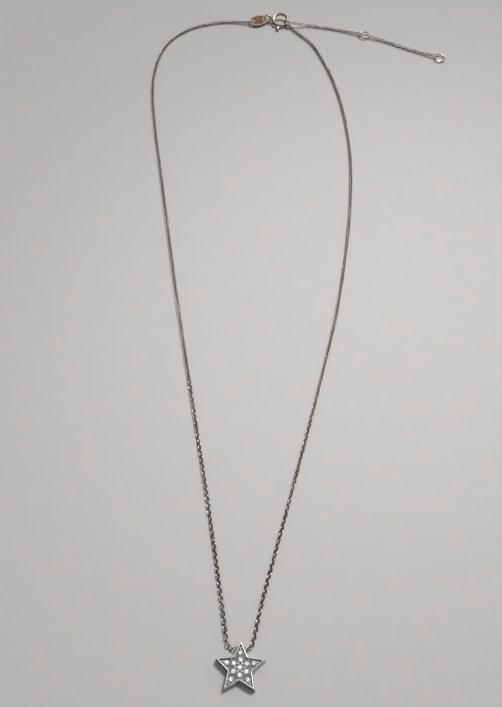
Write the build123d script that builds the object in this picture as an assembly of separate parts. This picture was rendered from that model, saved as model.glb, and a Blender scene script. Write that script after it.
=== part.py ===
from build123d import *
import math
import os

# A star pendant on a fine trace chain, lying closed on a flat surface.
# Lengths are millimetres, angles degrees. The layout is measured from a point at the star's
# middle, X to the right, Y from the star towards the clasp and Z up from the surface.
# At the end the whole is moved so that the middle of its box's underside is the origin.

# Star setting
STAR_POINTS = 5
RIM_TIP_RADIUS = 4.9         # middle of the star to the rim's outer edge at a point
RIM_NOTCH_RADIUS = 2.38      # the same at a notch between two points
STAR_HEIGHT = 2.0            # back to the top of the rim
WALL_FLARE = 0.13            # the wall's foot stands this far outside the rim
RIM_WIDTH = 0.28
RIM_ROUNDING = 0.11          # on both edges of the rim's top
POINT_ROUNDING = 0.12
RECESS_DEPTH = 0.45          # rim down to the floor that carries the stones
FLOOR_THICKNESS = 0.85
BACK_WALL = 0.5              # wall round the hollow back
STAR_TURN = -5.6             # the star is turned this much on the surface

# Stones and the grains that hold them
NOTCH_GAP = 0.08             # inner stone to the notch beside it
WALL_GAP = 0.085             # outer stone to the two walls of its point
STONE_GAP = 0.155            # outer stone to the inner stone below it
TABLE_SHARE = 0.57           # table over girdle, as stones are cut
CROWN_SHARE = 0.165          # crown height over girdle diameter
GIRDLE_SHARE = 0.04
PAVILION_SHARE = 0.42
CULET_SHARE = 0.08
STONE_FACETS = 8
GIRDLE_LIFT = 0.06           # girdle above the floor
SEAT_GAP = 0.035
GRAIN_GAP = 0.04             # grain to the nearest stone
TIP_GRAIN_RADIUS = 0.18
SIDE_GRAIN_RADIUS = 0.15
GRAIN_LIFT = 0.1             # grain's middle above the floor
SIDE_GRAIN_INSET = 0.12      # side grain's middle inside the wall

# Bore across the star's top point that the chain runs through
BAIL_FROM_POINT = 1.3        # rim's outer edge at the point to the bore's axis
BAIL_CLEARANCE = 0.1         # chain to bore
BAIL_WALL = 0.15             # metal below the bore, and between it and the hollow back

# Chain
CHAIN_WIDTH = 0.95
LINK_WIRE = 0.3
END_LINK_OUTSIDE = 1.5       # the round link that ends each run of chain
RUN_SHARE = 0.45             # part of the shorter run that an arc takes up

# Rings
RING_WIRE = 0.4
TAG_RING_OUTSIDE = 2.4       # ring between the tag and the clasp's eye
TAG_RING_WIRE = 0.45
TAG_RING_LEAN = 15.0         # from upright, its top away from the star
JOINING_RING_OUTSIDE = 2.2   # ring that the clasp closes on
MIDDLE_RING_OUTSIDE = 2.8
END_RING_OUTSIDE = 3.1
MIDDLE_RING_TILT = 6.0
MIDDLE_RING_DROP = 0.075     # middle ring below the middle of its upright end links
LINK_PLAY = 0.15             # end link's middle outside the lying wire that it holds
JOINING_LINK_PLAY = 0.04     # the same on the joining ring, whose wire slants there
JOINING_RING_PLAY = 0.2      # joining ring's wire to the shut gate

# Oval tag
TAG_LENGTH = 5.5
TAG_WIDTH = 3.6
TAG_THICKNESS = 0.34
TAG_HOLE_RADIUS = 0.55
TAG_WEB = 0.28               # metal left between a hole and the tag's end
TAG_BORDER = 0.38
TAG_FIELD_DEPTH = 0.09
TAG_ROUNDING = 0.08
TAG_HEIGHT = 0.9             # middle of the tag above the surface
TAG_TILT = 12.0

# Spring ring clasp
CLASP_OUTSIDE = 5.0
CLASP_TUBE = 0.84
CLASP_WALL = 0.09
CLASP_HEIGHT = 1.18
CLASP_TILT = 12.0
GATE_CLEARANCE = 0.06        # gate wire to the tube's bore
MOUTH_FIRST = -20.0          # the gap in the tube, measured round from X
MOUTH_LAST = -58.0
GATE_SEAT = 6.0              # how far the shut gate reaches into the first mouth
GATE_TAIL = 67.0             # how far it reaches back past the last mouth
GATE_TRAVEL = 42.0
SEAT_SPARE = 3.0             # empty bore past each end of the gate
KNOB_ANGLE = -109.0
KNOB_POST_RADIUS = 0.2
KNOB_RADIUS = 0.42
KNOB_LENGTH = 1.35           # tube to the knob's end
KNOB_GAP = 0.12              # tube to the knob's foot
SLOT_CLEARANCE = 0.07
EYE_WIRE = 0.3
EYE_OUTSIDE = 1.5
EYE_ANGLE = 168.0
EYE_LAP = 0.2                # how far the eye sinks into the tube

# Places on the surface
STAR_MIDDLE = (-0.1, -0.23)
TAG_MIDDLE = (15.0, 181.7)
TAG_HEADING = 13.5
TAG_LINK_HEADING = 170.0     # the way the left chain leaves the tag
CLASP_MIDDLE = (21.47, 181.03)
JOINING_RING_ANGLE = -40.0   # where the ring hangs on the clasp
JOINING_LINK_SPREAD = 0.48   # height of each link on the joining ring from its middle
RIGHT_LINK_HEADING = -66.0
EXTENSION_LINK_HEADING = -10.0
MIDDLE_RING_PLACE = (44.9, 172.7)
END_RING_PLACE = (64.9, 161.2)
LEFT_BEND = 2.6              # bore's middle to the chain's bend beside the star
RIGHT_BEND = 2.15

# The chain's route, one named point for each change of direction
LEFT_ROUTE = [
    (7.5, 182.8), (0.5, 182.6), (-6.6, 180.4), (-12.2, 175.2), (-15.2, 167.1), (-16.4, 156.9),
    (-15.8, 144.4), (-14.3, 127.9), (-12.5, 106.4), (-10.4, 83.4), (-8.0, 60.9), (-5.9, 41.9),
    (-4.1, 24.4), (-3.2, 13.9), (-2.65, 7.6),
]
RIGHT_ROUTE = [
    (26.3, 175.5), (29.9, 170.6), (32.1, 163.8), (34.3, 155.0), (35.7, 143.2), (35.9, 128.9),
    (34.3, 113.4), (31.2, 96.4), (26.7, 77.7), (21.0, 59.6), (15.0, 41.7), (9.4, 25.2),
    (5.4, 13.7), (3.6, 7.7),
]
INNER_EXTENSION_ROUTE = [(28.6, 179.0), (34.6, 177.1), (39.7, 175.1)]
OUTER_EXTENSION_ROUTE = [(49.4, 170.4), (54.6, 167.1), (59.6, 163.9)]

# Sizes worked out from the ones above
FULL_TURN = 360.0
HALF_TURN = FULL_TURN / 2 / STAR_POINTS
NOTCH_X = RIM_NOTCH_RADIUS * math.sin(math.radians(HALF_TURN))
NOTCH_Y = RIM_NOTCH_RADIUS * math.cos(math.radians(HALF_TURN))
POINT_HALF_ANGLE = math.atan2(NOTCH_X, RIM_TIP_RADIUS - NOTCH_Y)
NOTCH_HALF_ANGLE = POINT_HALF_ANGLE + math.radians(HALF_TURN)
POINT_HEADINGS = [90 - 2 * HALF_TURN * i for i in range(STAR_POINTS)]
CHAIN_RADIUS = CHAIN_WIDTH / 2
END_LINK_RADIUS = (END_LINK_OUTSIDE - LINK_WIRE) / 2


def tip_radius(outward):
    """Radius to a point of the star's outline, moved outward by a distance."""
    return RIM_TIP_RADIUS + outward / math.sin(POINT_HALF_ANGLE)


def notch_radius(outward):
    """Radius to a notch of the star's outline, moved outward by a distance."""
    return RIM_NOTCH_RADIUS + outward / math.sin(NOTCH_HALF_ANGLE)


def polar(radius, heading):
    return (radius * math.cos(math.radians(heading)), radius * math.sin(math.radians(heading)))


def step(place, length, heading):
    """The place reached from another by going a length along a heading."""
    across, along = polar(length, heading)
    return (place[0] + across, place[1] + along)


def star_outline(outward):
    """Star-shaped face, moved outward from the rim's edge by a distance."""
    corners = []
    for heading in POINT_HEADINGS:
        corners.append(polar(tip_radius(outward), heading))
        corners.append(polar(notch_radius(outward), heading - HALF_TURN))
    return make_face(Polyline(*corners, close=True))


# Stone sizes follow from the room inside the rim
RECESS_TIP = tip_radius(-RIM_WIDTH)
RECESS_NOTCH = notch_radius(-RIM_WIDTH)
STONE_RADIUS = (
    RECESS_TIP - RECESS_NOTCH + NOTCH_GAP - WALL_GAP / math.sin(POINT_HALF_ANGLE) - STONE_GAP
) / (1 + 1 / math.sin(POINT_HALF_ANGLE))
INNER_STONES = RECESS_NOTCH - STONE_RADIUS - NOTCH_GAP
OUTER_STONES = RECESS_TIP - (STONE_RADIUS + WALL_GAP) / math.sin(POINT_HALF_ANGLE)
STONE_DIAMETER = 2 * STONE_RADIUS
FLOOR_LEVEL = STAR_HEIGHT - RECESS_DEPTH
GIRDLE_LEVEL = FLOOR_LEVEL + GIRDLE_LIFT

# The bore, and the star's place on the surface
BAIL_BORE_RADIUS = CHAIN_RADIUS + BAIL_CLEARANCE
BAIL_Y = RIM_TIP_RADIUS - BAIL_FROM_POINT
BAIL_Z = BAIL_BORE_RADIUS + BAIL_WALL
STAR_PLACE = Pos(*STAR_MIDDLE) * Rot(0, 0, STAR_TURN)


def stone_places():
    """Middle stone, a ring of six round it and one in each point."""
    places = [(0.0, 0.0)]
    places += [polar(INNER_STONES, 90 - 60 * i) for i in range(6)]
    places += [polar(OUTER_STONES, heading) for heading in POINT_HEADINGS]
    return places


def cut_stone(place):
    """Round stone with a table and eight facets above and below the girdle."""
    levels = [
        (-PAVILION_SHARE * STONE_DIAMETER, CULET_SHARE),
        (0.0, 1.0),
        (GIRDLE_SHARE * STONE_DIAMETER, 1.0),
        ((GIRDLE_SHARE + CROWN_SHARE) * STONE_DIAMETER, TABLE_SHARE),
    ]
    sections = [
        Pos(place[0], place[1], GIRDLE_LEVEL + level)
        * RegularPolygon(share * STONE_RADIUS, STONE_FACETS)
        for level, share in levels
    ]
    return loft(sections, ruled=True)


def stone_seat(place):
    """Tapered hole that a stone's lower half sits in, clear of it all round."""
    depth = PAVILION_SHARE * STONE_DIAMETER
    seat = Cone(CULET_SHARE * STONE_RADIUS + SEAT_GAP, STONE_RADIUS + SEAT_GAP, depth)
    return Pos(place[0], place[1], GIRDLE_LEVEL - SEAT_GAP - depth / 2) * seat


def grain_places():
    """Places and radii of the grains raised from the floor to hold the stones."""
    between = INNER_STONES / math.sqrt(3)
    grains = [(polar(between, 60 * i), between - STONE_RADIUS - GRAIN_GAP) for i in range(6)]
    beyond = OUTER_STONES + STONE_RADIUS + GRAIN_GAP + TIP_GRAIN_RADIUS
    along = (INNER_STONES + OUTER_STONES) / 2
    room = (RECESS_TIP - along) * math.sin(POINT_HALF_ANGLE) - SIDE_GRAIN_INSET
    aside = room / math.cos(POINT_HALF_ANGLE)
    for heading in POINT_HEADINGS:
        grains.append((polar(beyond, heading), TIP_GRAIN_RADIUS))
        for side in (90, -90):
            place = step(polar(along, heading), aside, heading + side)
            grains.append((place, SIDE_GRAIN_RADIUS))
    return grains


def star_body():
    """Walls, rim, sunken floor and hollow back, which stops short of the bore."""
    body = loft([star_outline(WALL_FLARE), Pos(0, 0, STAR_HEIGHT) * star_outline(0)], ruled=True)
    upright = body.edges().sort_by(Axis.Z)[STAR_POINTS * 2:STAR_POINTS * 4]
    points = sorted(upright, key=lambda edge: math.hypot(edge.center().X, edge.center().Y))
    body = fillet(points[STAR_POINTS:], POINT_ROUNDING)
    body -= Pos(0, 0, FLOOR_LEVEL) * extrude(star_outline(-RIM_WIDTH), RECESS_DEPTH)
    body = fillet(body.faces().sort_by(Axis.Z)[-1].edges(), RIM_ROUNDING)
    hollow = extrude(star_outline(WALL_FLARE - BACK_WALL), FLOOR_LEVEL - FLOOR_THICKNESS)
    bridge = Box(2 * RIM_TIP_RADIUS, 2 * (BAIL_BORE_RADIUS + BAIL_WALL), 2 * STAR_HEIGHT)
    return body - (hollow - Pos(0, BAIL_Y) * bridge)


def star_setting():
    """Setting with its seats, its grains and the bore across its top point."""
    setting = star_body()
    for place in stone_places():
        setting -= stone_seat(place)
    for place, radius in grain_places():
        setting += Pos(place[0], place[1], FLOOR_LEVEL) * Cylinder(radius, 2 * GRAIN_LIFT)
        setting += Pos(place[0], place[1], FLOOR_LEVEL + GRAIN_LIFT) * Sphere(radius)
    bore = Cylinder(BAIL_BORE_RADIUS, 2 * RIM_TIP_RADIUS)
    return STAR_PLACE * (setting - Pos(0, BAIL_Y, BAIL_Z) * Rot(0, 90, 0) * bore)


def flat_ring(place, height, outside, wire, lean_heading=0.0, lean=0.0):
    """Ring that lies flat, or leans up by an angle on the side of a heading."""
    pose = Pos(place[0], place[1], height) * Rot(0, 0, lean_heading) * Rot(0, -lean, 0)
    return pose * Torus((outside - wire) / 2, wire / 2)


def upright_ring(place, height, heading, outside, wire, lean=0.0):
    """Ring on edge along a heading, or leaning back from upright by an angle."""
    pose = Pos(place[0], place[1], height) * Rot(0, 0, heading) * Rot(90 - lean, 0, 0)
    return pose * Torus((outside - wire) / 2, wire / 2)


def chain_tube(name, points):
    """Chain as a tube along straight runs joined by the largest arcs that fit."""
    corners = [Vector(*point) for point in points]
    runs = [after - before for before, after in zip(corners, corners[1:])]
    radii = []
    for before, after in zip(runs, runs[1:]):
        half_turn = math.radians(before.get_angle(after) / 2)
        radii.append(RUN_SHARE * min(before.length, after.length) / math.tan(half_turn))
    path = FilletPolyline(*corners, radius=radii)
    section = Plane(origin=path @ 0, z_dir=path % 0) * Circle(CHAIN_RADIUS)
    tube = sweep(section, path=path)
    share = tube.volume / (math.pi * CHAIN_RADIUS ** 2 * path.length)
    print(name, "length", round(path.length, 1), "volume over section times length",
          round(share, 5), "radii", [round(radius, 1) for radius in radii])
    return tube


def bail_point(along):
    """Point on the bore's axis, a distance along it from the star's middle line."""
    point = (STAR_PLACE * Pos(along, BAIL_Y, BAIL_Z)).position
    return (point.X, point.Y, point.Z)


def at_rest(route):
    """Route points at the height of a chain that lies on the surface."""
    return [(x, y, CHAIN_RADIUS) for x, y in route]


# Where the tag's holes, the clasp's eye and the rings come to lie
TAG_HOLE_FROM_MIDDLE = TAG_LENGTH / 2 - TAG_WEB - TAG_HOLE_RADIUS
TAG_LEFT_HOLE = step(TAG_MIDDLE, -TAG_HOLE_FROM_MIDDLE, TAG_HEADING)
TAG_RIGHT_HOLE = step(TAG_MIDDLE, TAG_HOLE_FROM_MIDDLE, TAG_HEADING)
CLASP_RADIUS = (CLASP_OUTSIDE - CLASP_TUBE) / 2
CLASP_BORE = CLASP_TUBE / 2 - CLASP_WALL
CLASP_PLACE = Pos(CLASP_MIDDLE[0], CLASP_MIDDLE[1], CLASP_HEIGHT) * Rot(CLASP_TILT, 0, 0)
GATE_RADIUS = CLASP_BORE - GATE_CLEARANCE
EYE_RADIUS = (EYE_OUTSIDE - EYE_WIRE) / 2
EYE_FROM_MIDDLE = CLASP_OUTSIDE / 2 + EYE_OUTSIDE / 2 - EYE_WIRE / 2 - EYE_LAP
EYE_PLACE = (CLASP_PLACE * Pos(*polar(EYE_FROM_MIDDLE, EYE_ANGLE))).position
TAG_RING_HEADING = math.degrees(
    math.atan2(EYE_PLACE.Y - TAG_RIGHT_HOLE[1], EYE_PLACE.X - TAG_RIGHT_HOLE[0])
)
TAG_RING_PLACE = (
    (EYE_PLACE.X + TAG_RIGHT_HOLE[0]) / 2,
    (EYE_PLACE.Y + TAG_RIGHT_HOLE[1]) / 2,
)
JOINING_RING_RADIUS = (JOINING_RING_OUTSIDE - RING_WIRE) / 2
JOINING_RING_PLACE = step(
    CLASP_MIDDLE,
    CLASP_RADIUS - GATE_RADIUS - RING_WIRE / 2 - JOINING_RING_PLAY + JOINING_RING_RADIUS,
    JOINING_RING_ANGLE,
)
JOINING_RING_OUTER_WIRE = step(
    JOINING_RING_PLACE,
    math.sqrt(JOINING_RING_RADIUS ** 2 - JOINING_LINK_SPREAD ** 2),
    JOINING_RING_ANGLE,
)


def heading_between(start, end):
    return math.degrees(math.atan2(end[1] - start[1], end[0] - start[0]))


def joining_link_place(heading):
    """Middle of the flat end link that hangs on the joining ring, pulled along a heading."""
    return step(JOINING_RING_OUTER_WIRE, JOINING_LINK_PLAY, heading)


def tube_start(link_place, heading, height):
    """Where the chain's tube begins, on the far side of its end link."""
    place = step(link_place, END_LINK_RADIUS, heading)
    return (place[0], place[1], height)


def chain_left():
    """Run of chain from the tag's left hole to the middle of the star's bore."""
    link_place = step(TAG_LEFT_HOLE, END_LINK_RADIUS, TAG_LINK_HEADING)
    height = END_LINK_OUTSIDE / 2
    link = upright_ring(link_place, height, TAG_LINK_HEADING, END_LINK_OUTSIDE, LINK_WIRE)
    points = [tube_start(link_place, TAG_LINK_HEADING, height)] + at_rest(LEFT_ROUTE)
    points += [bail_point(-LEFT_BEND), bail_point(0)]
    return chain_tube("chain_left", points) + link


def chain_right():
    """Run of chain from the joining ring to the middle of the star's bore."""
    link_place = joining_link_place(RIGHT_LINK_HEADING)
    height = JOINING_RING_OUTSIDE / 2 - JOINING_LINK_SPREAD
    link = flat_ring(link_place, height, END_LINK_OUTSIDE, LINK_WIRE)
    points = [tube_start(link_place, RIGHT_LINK_HEADING, height)] + at_rest(RIGHT_ROUTE)
    points += [bail_point(RIGHT_BEND), bail_point(0)]
    return chain_tube("chain_right", points) + link


def ring_link(ring_place, ring_outside, route_end):
    """End link round a lying ring's wire, upright, and its heading away from the ring."""
    heading = heading_between(ring_place, route_end)
    link_place = step(ring_place, (ring_outside - RING_WIRE) / 2 + LINK_PLAY, heading)
    height = END_LINK_OUTSIDE / 2
    link = upright_ring(link_place, height, heading, END_LINK_OUTSIDE, LINK_WIRE)
    return link, tube_start(link_place, heading, height)


def extension_inner():
    """Extension chain from the joining ring to the middle ring."""
    link_place = joining_link_place(EXTENSION_LINK_HEADING)
    height = JOINING_RING_OUTSIDE / 2 + JOINING_LINK_SPREAD
    first = flat_ring(link_place, height, END_LINK_OUTSIDE, LINK_WIRE)
    last, end = ring_link(MIDDLE_RING_PLACE, MIDDLE_RING_OUTSIDE, INNER_EXTENSION_ROUTE[-1])
    points = [tube_start(link_place, EXTENSION_LINK_HEADING, height)]
    points += at_rest(INNER_EXTENSION_ROUTE) + [end]
    return chain_tube("extension_inner", points) + first + last


def extension_outer():
    """Extension chain from the middle ring to the end ring."""
    first, start = ring_link(MIDDLE_RING_PLACE, MIDDLE_RING_OUTSIDE, OUTER_EXTENSION_ROUTE[0])
    last, end = ring_link(END_RING_PLACE, END_RING_OUTSIDE, OUTER_EXTENSION_ROUTE[-1])
    points = [start] + at_rest(OUTER_EXTENSION_ROUTE) + [end]
    return chain_tube("extension_outer", points) + first + last


def end_tag():
    """Oval tag with a hole near each end and a plain sunken field between them."""
    plate = extrude(Ellipse(TAG_LENGTH / 2, TAG_WIDTH / 2), TAG_THICKNESS)
    plate = fillet(plate.edges(), TAG_ROUNDING)
    field = Ellipse(TAG_LENGTH / 2 - TAG_BORDER, TAG_WIDTH / 2 - TAG_BORDER)
    holes = [Pos(side * TAG_HOLE_FROM_MIDDLE, 0) for side in (-1, 1)]
    for hole in holes:
        field -= hole * Circle(TAG_HOLE_RADIUS + TAG_WEB)
        plate -= hole * Cylinder(TAG_HOLE_RADIUS, 4 * TAG_THICKNESS)
    plate -= Pos(0, 0, TAG_THICKNESS - TAG_FIELD_DEPTH) * extrude(field, TAG_THICKNESS)
    place = Pos(TAG_MIDDLE[0], TAG_MIDDLE[1], TAG_HEIGHT) * Rot(0, 0, TAG_HEADING)
    return place * Rot(TAG_TILT, 0, 0) * Pos(0, 0, -TAG_THICKNESS / 2) * plate


def tag_ring():
    """Ring through the tag's right hole and the clasp's eye, leaning back on the surface."""
    radius = (TAG_RING_OUTSIDE - TAG_RING_WIRE) / 2
    height = radius * math.cos(math.radians(TAG_RING_LEAN)) + TAG_RING_WIRE / 2
    return upright_ring(TAG_RING_PLACE, height, TAG_RING_HEADING, TAG_RING_OUTSIDE,
                        TAG_RING_WIRE, TAG_RING_LEAN)


def ring_arc(radius, first, last):
    """Round bar bent to the clasp's radius between two angles."""
    section = Plane.XZ * Pos(CLASP_RADIUS, 0) * Circle(radius)
    return Rot(0, 0, first) * revolve(section, Axis.Z, last - first)


def clasp_ring():
    """Clasp's tube with its bore, the slot for the knob and the eye."""
    ring = ring_arc(CLASP_TUBE / 2, MOUTH_FIRST, MOUTH_LAST + FULL_TURN)
    tail = MOUTH_LAST - GATE_TAIL - GATE_TRAVEL - SEAT_SPARE
    ring -= ring_arc(CLASP_BORE, tail, MOUTH_LAST)
    ring -= ring_arc(CLASP_BORE, MOUTH_FIRST, MOUTH_FIRST + GATE_SEAT + SEAT_SPARE)
    half_slot = KNOB_POST_RADIUS + SLOT_CLEARANCE
    spare = math.degrees(half_slot / (CLASP_OUTSIDE / 2))
    opening = Plane.XZ * Pos(CLASP_RADIUS + CLASP_TUBE / 2, 0)
    opening = opening * Rectangle(CLASP_TUBE, 2 * half_slot)
    slot = revolve(opening, Axis.Z, GATE_TRAVEL + 2 * spare)
    ring -= Rot(0, 0, KNOB_ANGLE - GATE_TRAVEL - spare) * slot
    eye_x, eye_y = polar(EYE_FROM_MIDDLE, EYE_ANGLE)
    ring += Pos(eye_x, eye_y) * Torus(EYE_RADIUS, EYE_WIRE / 2)
    return CLASP_PLACE * ring


def clasp_gate():
    """Sliding wire that shuts the clasp, with the knob that draws it back."""
    gate = ring_arc(GATE_RADIUS, MOUTH_LAST - GATE_TAIL, MOUTH_FIRST + GATE_SEAT)
    edge = CLASP_OUTSIDE / 2
    outward = Rot(0, 0, KNOB_ANGLE) * Rot(0, 90, 0)
    gate += outward * Pos(0, 0, (CLASP_RADIUS + edge + KNOB_GAP) / 2) * Cylinder(
        KNOB_POST_RADIUS, edge + KNOB_GAP - CLASP_RADIUS + KNOB_GAP
    )
    knob_bar = KNOB_LENGTH - KNOB_GAP - KNOB_RADIUS
    gate += outward * Pos(0, 0, edge + KNOB_GAP + knob_bar / 2) * Cylinder(KNOB_RADIUS, knob_bar)
    gate += outward * Pos(0, 0, edge + KNOB_GAP + knob_bar) * Sphere(KNOB_RADIUS)
    return CLASP_PLACE * gate


def end_ring():
    """Ring at the extension's free end, resting on the surface on its far side."""
    radius = (END_RING_OUTSIDE - RING_WIRE) / 2
    heading = heading_between(END_RING_PLACE, OUTER_EXTENSION_ROUTE[-1])
    rise = END_LINK_OUTSIDE / 2 - RING_WIRE / 2
    lean = math.degrees(math.asin(rise / (2 * radius)))
    return flat_ring(END_RING_PLACE, RING_WIRE / 2 + rise / 2, END_RING_OUTSIDE, RING_WIRE,
                     heading, lean)


def all_pieces():
    """Every piece by name, still in the layout's place."""
    pieces = {"star_setting": star_setting()}
    for number, place in enumerate(stone_places(), 1):
        pieces[f"stone_{number:02d}"] = STAR_PLACE * cut_stone(place)
    pieces["chain_left"] = chain_left()
    pieces["chain_right"] = chain_right()
    pieces["extension_inner"] = extension_inner()
    pieces["extension_outer"] = extension_outer()
    pieces["end_tag"] = end_tag()
    pieces["tag_ring"] = tag_ring()
    pieces["clasp_ring"] = clasp_ring()
    pieces["clasp_gate"] = clasp_gate()
    pieces["joining_ring"] = upright_ring(
        JOINING_RING_PLACE, JOINING_RING_OUTSIDE / 2, JOINING_RING_ANGLE,
        JOINING_RING_OUTSIDE, RING_WIRE
    )
    pieces["middle_ring"] = flat_ring(
        MIDDLE_RING_PLACE, END_LINK_OUTSIDE / 2 - MIDDLE_RING_DROP,
        MIDDLE_RING_OUTSIDE, RING_WIRE, 90, MIDDLE_RING_TILT
    )
    pieces["end_ring"] = end_ring()
    return pieces


def main():
    os.makedirs("parts", exist_ok=True)
    pieces = all_pieces()
    boxes = [piece.bounding_box() for piece in pieces.values()]
    left, right = min(box.min.X for box in boxes), max(box.max.X for box in boxes)
    near, far = min(box.min.Y for box in boxes), max(box.max.Y for box in boxes)
    low = min(box.min.Z for box in boxes)
    to_origin = Pos(-(left + right) / 2, -(near + far) / 2, -low)
    for name, piece in pieces.items():
        export_step(to_origin * piece, f"parts/{name}.step")
    print("size", round(right - left, 2), round(far - near, 2), "moved by", to_origin.position)
    print("stone diameter", round(STONE_DIAMETER, 3), "bore height", round(BAIL_Z, 3))
    clasp = (to_origin * CLASP_PLACE).position
    print("clasp middle", clasp, "tag ring span",
          round(math.hypot(EYE_PLACE.X - TAG_RIGHT_HOLE[0], EYE_PLACE.Y - TAG_RIGHT_HOLE[1]), 3))


main()
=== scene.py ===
"""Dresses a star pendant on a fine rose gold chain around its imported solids."""

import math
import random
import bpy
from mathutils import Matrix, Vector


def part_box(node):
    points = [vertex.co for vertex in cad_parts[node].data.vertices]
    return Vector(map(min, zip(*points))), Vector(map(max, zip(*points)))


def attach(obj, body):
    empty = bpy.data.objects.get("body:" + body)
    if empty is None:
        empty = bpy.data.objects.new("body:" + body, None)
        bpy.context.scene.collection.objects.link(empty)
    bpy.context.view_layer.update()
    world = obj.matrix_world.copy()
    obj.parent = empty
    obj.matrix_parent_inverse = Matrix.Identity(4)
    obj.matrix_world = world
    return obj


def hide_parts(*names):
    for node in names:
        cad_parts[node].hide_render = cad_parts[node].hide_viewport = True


bl_info = {
    "name": "Star Pendant",
    "version": (1, 0, 0),
    "blender": (4, 5, 0),
    "location": "3D View > Sidebar > Pendant",
    "description": "Fine chain, cut stones, metals and a pale stage for a star pendant",
    "category": "Add Mesh",
}

import bmesh
import bpy
from bpy.props import FloatProperty, FloatVectorProperty, IntProperty, PointerProperty
from mathutils import Matrix, Vector

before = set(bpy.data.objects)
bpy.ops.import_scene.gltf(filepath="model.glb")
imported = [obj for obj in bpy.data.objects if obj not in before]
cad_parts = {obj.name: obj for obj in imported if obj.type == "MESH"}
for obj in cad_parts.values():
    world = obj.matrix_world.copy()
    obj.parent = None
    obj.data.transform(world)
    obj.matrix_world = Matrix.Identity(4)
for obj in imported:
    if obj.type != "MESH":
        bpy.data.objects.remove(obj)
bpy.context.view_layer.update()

MM = 0.001
UP = Vector((0, 0, 1))

# Frame of the photograph and the lens that took it
PHOTO_HEIGHT = 707
FOCAL_PIXELS = 896.8
SENSOR_WIDTH = 36.0
CAMERA_TILT = 31.0        # from straight down, towards the clasp
CAMERA_ROLL = 4.0
CAMERA_PLACE = (-18.78, -126.075, 175.91)
CAMERA_CLIP = (5 * MM, 10.0)

# Light that throws the short shadows, from the upper right
LIGHT_LEAN = 28.0          # from straight above
LIGHT_HEADING = 43.0
LIGHT_DISTANCE = 2400.0
KEY_SPREAD = 13.0
POOL_WIDTH = 100.0
POOL_ANGLE = 5.0
POOL_MIDDLE = (14.0, -6.0)

# Room that lights the floor: its brighter side, and its tone away from it and towards it
ROOM_TOP = (0.2, 0.2, 0.96)
ROOM_TONES = ((0.05, (0.12, 0.112, 0.105)), (1.0, (0.34, 0.335, 0.33)))
PLAIN_ROOM = (0.45, 0.44, 0.435)   # what the camera sees past the floor

# What polished metal mirrors: the side the window is on, and how bright the room is towards it
WINDOW_SIDE = (0.3, 0.8, 0.5)
MIRRORED_ROOM = ((0.0, 0.07), (0.45, 0.12), (0.68, 0.28), (0.95, 0.6))
MIRROR_WARMTH = (1.0, 0.985, 0.965)

# Pale floor, in metres, and the two tones that its colour drifts between
FLOOR_REACH = 3.0
FLOOR_DROP = 0.01 * MM
FLOOR_TONES = ((1.03, 1.0, 0.985), (0.965, 0.995, 1.03))

# Places on the surface in millimetres, measured from the middle of the star
MIDDLE_RING_PLACE = (44.9, 172.7)
END_RING_PLACE = (64.9, 161.2)
TAG_MIDDLE = (15.0, 181.7)
TAG_HEADING = 13.5
TAG_TILT = 12.0
TAG_FIELD_DEPTH = 0.09
TAG_HOLE_FROM_MIDDLE = 1.92
TAG_LINK_HEADING = 170.0
JOINING_RING_ANGLE = -40.0
JOINING_LINK_SPREAD = 0.48
JOINING_LINK_PLAY = 0.04
RIGHT_LINK_HEADING = -66.0
EXTENSION_LINK_HEADING = -10.0
LINK_PLAY = 0.15

# The star's own frame, turned where it lies on the surface
STAR_MIDDLE = (-0.1, -0.23)
STAR_TURN = -5.6
STAR_HEIGHT = 2.0
RECESS_DEPTH = 0.45
GIRDLE_MIDDLE = 1.63
BAIL_MIDDLE = (3.6, 0.725)
LEFT_BEND = 2.6
RIGHT_BEND = 2.15

# Chain's route from the tag down to the star and back up to the clasp
LEFT_ROUTE = [
    (7.5, 182.8), (0.5, 182.6), (-6.6, 180.4), (-12.2, 175.2), (-15.2, 167.1), (-16.4, 156.9),
    (-15.8, 144.4), (-14.3, 127.9), (-12.5, 106.4), (-10.4, 83.4), (-8.0, 60.9), (-5.9, 41.9),
    (-4.1, 24.4), (-3.2, 13.9), (-2.65, 7.6),
]
RIGHT_ROUTE = [
    (26.3, 175.5), (29.9, 170.6), (32.1, 163.8), (34.3, 155.0), (35.7, 143.2), (35.9, 128.9),
    (34.3, 113.4), (31.2, 96.4), (26.7, 77.7), (21.0, 59.6), (15.0, 41.7), (9.4, 25.2),
    (5.4, 13.7), (3.6, 7.7),
]
INNER_EXTENSION_ROUTE = [(28.6, 179.0), (34.6, 177.1), (39.7, 175.1)]
OUTER_EXTENSION_ROUTE = [(49.4, 170.4), (54.6, 167.1), (59.6, 163.9)]

# Rings and round end links
RING_WIRE = 0.4
MIDDLE_RING_OUTSIDE = 2.8
END_RING_OUTSIDE = 3.1
END_LINK_OUTSIDE = 1.5
END_LINK_WIRE = 0.3

# How the links of the chain are made and lie
LINK_SIDES = 10
WIRE_SIDES = 6
FREE_LINKS = 8.0           # links from each end over which the chain comes to lie freely
LINK_SHAKE = 14.0          # largest turn of one link against the slow drift
DRIFT_SCALE = 0.06
DRIFT_GAIN = 4.0

# Finish of the star's silver, with painted highlight on its rim and grains, by depth below the rim as
# a share of the recess
RIM_ROUGHNESS = 0.36
RIM_LEVELS = (0.4, 0.25)
GRAIN_ROUGHNESS = 0.5
GRAIN_LEVELS = (0.85, 0.7)
GRAIN_HIGHLIGHT_GAIN = 1.4           # the grains' painted highlight colour over the rim's
GRAIN_HIGHLIGHT_MATTING = 0.85       # how far the grains lose their metallic look, so their painted highlight reads matt and bright
UPWARD = (0.15, 0.5)       # a face's upward share from the darker plain metal to the painted highlight

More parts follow.
